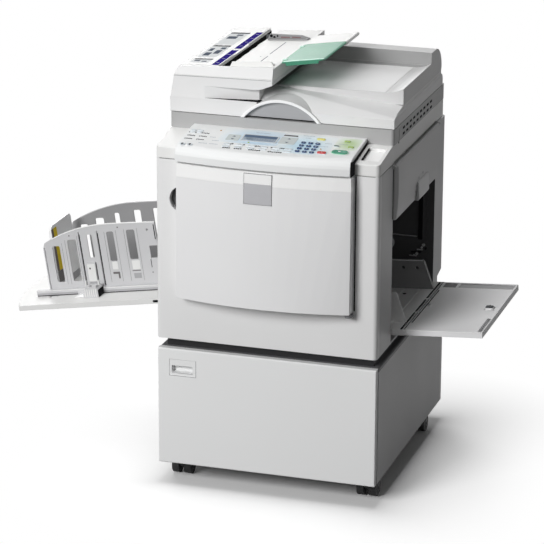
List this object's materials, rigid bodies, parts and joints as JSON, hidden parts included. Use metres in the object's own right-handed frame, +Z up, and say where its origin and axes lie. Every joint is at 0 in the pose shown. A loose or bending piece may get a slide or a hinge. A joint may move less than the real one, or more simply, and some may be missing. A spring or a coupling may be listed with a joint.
{
  "type": "digital duplicator",
  "caption": "Digital duplicator on a wheeled storage cabinet, with a document feeder on top, a paper feed table on one side and a fenced delivery table on the other.",
  "frame": {"origin": "middle of the footprint, on the floor under the casters", "axes": "+X to the right as seen from the front, from the delivery table to the feed table; +Y to the back; +Z up"},
  "size_m": [1.3842, 0.794, 1.186],
  "materials": {
    "cabinet_paint": "satin paint",
    "dark_base": "matt",
    "drum_steel": "brushed",
    "fence_grey": "fine moulded texture",
    "flap_green": "translucent",
    "glass_clear": "polished",
    "inner_dark": "matt",
    "key_blue": "smooth",
    "key_green": "gloss",
    "key_red": "gloss",
    "lcd_blue": "gloss",
    "panel_white": "smooth",
    "plate_silver": "satin",
    "roll_paper": "matt",
    "rubber_black": "matt",
    "shell_grey": "fine moulded texture",
    "shell_white": "fine moulded texture",
    "side_grey": "satin paint"
  },
  "bodies": {
    "machine": {"cabinet_sides": "cabinet_paint", "cabinet_floor": "cabinet_paint", "cabinet_top": "cabinet_paint", "cabinet_back": "cabinet_paint", "base_plinth": "dark_base", "front_frame": "shell_grey", "side_panel_left": "side_grey", "side_panel_right": "side_grey", "rear_housing": "side_grey", "top_cover": "shell_white", "drum_bay_frame": "inner_dark", "feed_bay_frame": "inner_dark", "rear_frame": "inner_dark", "inner_deck": "inner_dark", "print_drum": "drum_steel", "master_roll": "roll_paper", "feed_roller": "rubber_black", "operation_panel": "panel_white", "lcd_screen": "lcd_blue", "key_pad": "key_blue", "start_key": "key_green", "stop_key": "key_red", "mode_keys": "side_grey", "scanner_body": "shell_grey", "platen_glass": "glass_clear", "delivery_table": "shell_white"},
    "front_door": {"front_door": "shell_grey", "door_band": "shell_white", "badge_plate": "plate_silver"},
    "cabinet_door": {"cabinet_door": "cabinet_paint"},
    "right_cover": {"right_cover": "side_grey", "cover_latch": "fence_grey"},
    "feeder": {"platen_cover": "shell_grey", "exit_tray": "shell_grey", "feeder_body": "shell_grey", "original_table": "shell_white", "original_flap": "flap_green"},
    "feeder_cover": {"feeder_cover": "shell_white"},
    "guide_front": {"guide_front": "shell_grey"},
    "guide_rear": {"guide_rear": "fence_grey"},
    "feed_table": {"feed_table": "shell_grey"},
    "feed_fence_front": {"feed_fence_front": "fence_grey"},
    "feed_fence_rear": {"feed_fence_rear": "fence_grey"},
    "feed_extension": {"feed_extension": "shell_grey"},
    "delivery_fence_front": {"delivery_fence_front": "fence_grey"},
    "delivery_fence_rear": {"delivery_fence_rear": "fence_grey"},
    "end_plate": {"end_plate": "fence_grey"},
    "caster_fork_fl": {"caster_fork_fl": "rubber_black"},
    "caster_wheels_fl": {"caster_wheels_fl": "rubber_black"},
    "caster_fork_fr": {"caster_fork_fr": "rubber_black"},
    "caster_wheels_fr": {"caster_wheels_fr": "rubber_black"},
    "caster_fork_rl": {"caster_fork_rl": "rubber_black"},
    "caster_wheels_rl": {"caster_wheels_rl": "rubber_black"},
    "caster_fork_rr": {"caster_fork_rr": "rubber_black"},
    "caster_wheels_rr": {"caster_wheels_rr": "rubber_black"}
  },
  "joints": [
    {"name": "door_hinge", "type": "hinge", "parent": "machine", "child": "front_door", "pos_m": [0.36556, -0.3485, 0.726], "axis": [0, 0, 1], "range_deg": [0, 100]},
    {"name": "cabinet_door_hinge", "type": "hinge", "parent": "machine", "child": "cabinet_door", "pos_m": [0.43556, -0.3215, 0.226], "axis": [0, 0, 1], "range_deg": [0, 100]},
    {"name": "right_cover_hinge", "type": "hinge", "parent": "machine", "child": "right_cover", "pos_m": [0.44506, 0.0375, 0.927], "axis": [0, -1, 0], "range_deg": [0, 80]},
    {"name": "feeder_lift", "type": "hinge", "parent": "machine", "child": "feeder", "pos_m": [0.12956, 0.3275, 1.038], "axis": [-1, 0, 0], "range_deg": [0, 65]},
    {"name": "feeder_cover_hinge", "type": "hinge", "parent": "feeder", "child": "feeder_cover", "pos_m": [-0.16244, 0.0545, 1.138], "axis": [0, -1, 0], "range_deg": [0, 70]},
    {"name": "guide_slide", "type": "slide", "parent": "feeder", "child": "guide_front", "axis": [0, 1, 0], "range_m": [0, 0.1]},
    {"name": "guide_slide_rear", "type": "slide", "parent": "feeder", "child": "guide_rear", "axis": [0, 1, 0], "range_m": [-0.1, 0]},
    {"name": "feed_elevator", "type": "slide", "parent": "machine", "child": "feed_table", "axis": [0, 0, 1], "range_m": [0, 0.12]},
    {"name": "feed_fence_slide", "type": "slide", "parent": "feed_table", "child": "feed_fence_front", "axis": [0, 1, 0], "range_m": [0, 0.0885]},
    {"name": "feed_fence_slide_rear", "type": "slide", "parent": "feed_table", "child": "feed_fence_rear", "axis": [0, 1, 0], "range_m": [-0.0885, 0]},
    {"name": "feed_extension_hinge", "type": "hinge", "parent": "feed_table", "child": "feed_extension", "pos_m": [0.47482, 0.0375, 0.46389], "axis": [0, -1, 0], "range_deg": [0, 86]},
    {"name": "delivery_fence_slide", "type": "slide", "parent": "machine", "child": "delivery_fence_front", "axis": [0, 1, 0], "range_m": [-0.0385, 0.028]},
    {"name": "delivery_fence_slide_rear", "type": "slide", "parent": "machine", "child": "delivery_fence_rear", "axis": [0, 1, 0], "range_m": [-0.028, 0.0385]},
    {"name": "end_plate_slide", "type": "slide", "parent": "machine", "child": "end_plate", "axis": [0.9877, 0, 0.1564], "range_m": [-0.015, 0.2]},
    {"name": "caster_swivel_fl", "type": "hinge", "parent": "machine", "child": "caster_fork_fl", "pos_m": [-0.13744, -0.2485, 0.06], "axis": [0, 0, 1], "continuous": true},
    {"name": "caster_spin_fl", "type": "hinge", "parent": "caster_fork_fl", "child": "caster_wheels_fl", "pos_m": [-0.13744, -0.2325, 0.025], "axis": [1, 0, 0], "continuous": true},
    {"name": "caster_swivel_fr", "type": "hinge", "parent": "machine", "child": "caster_fork_fr", "pos_m": [0.39656, -0.2485, 0.06], "axis": [0, 0, 1], "continuous": true},
    {"name": "caster_spin_fr", "type": "hinge", "parent": "caster_fork_fr", "child": "caster_wheels_fr", "pos_m": [0.39656, -0.2325, 0.025], "axis": [1, 0, 0], "continuous": true},
    {"name": "caster_swivel_rl", "type": "hinge", "parent": "machine", "child": "caster_fork_rl", "pos_m": [-0.13744, 0.2715, 0.06], "axis": [0, 0, 1], "continuous": true},
    {"name": "caster_spin_rl", "type": "hinge", "parent": "caster_fork_rl", "child": "caster_wheels_rl", "pos_m": [-0.13744, 0.2875, 0.025], "axis": [1, 0, 0], "continuous": true},
    {"name": "caster_swivel_rr", "type": "hinge", "parent": "machine", "child": "caster_fork_rr", "pos_m": [0.39656, 0.2715, 0.06], "axis": [0, 0, 1], "continuous": true},
    {"name": "caster_spin_rr", "type": "hinge", "parent": "caster_fork_rr", "child": "caster_wheels_rr", "pos_m": [0.39656, 0.2875, 0.025], "axis": [1, 0, 0], "continuous": true}
  ],
  "couplings": [
    {"joint": "guide_slide_rear", "follows": "guide_slide", "ratio": -1},
    {"joint": "feed_fence_slide_rear", "follows": "feed_fence_slide", "ratio": -1},
    {"joint": "delivery_fence_slide_rear", "follows": "delivery_fence_slide", "ratio": -1}
  ]
}
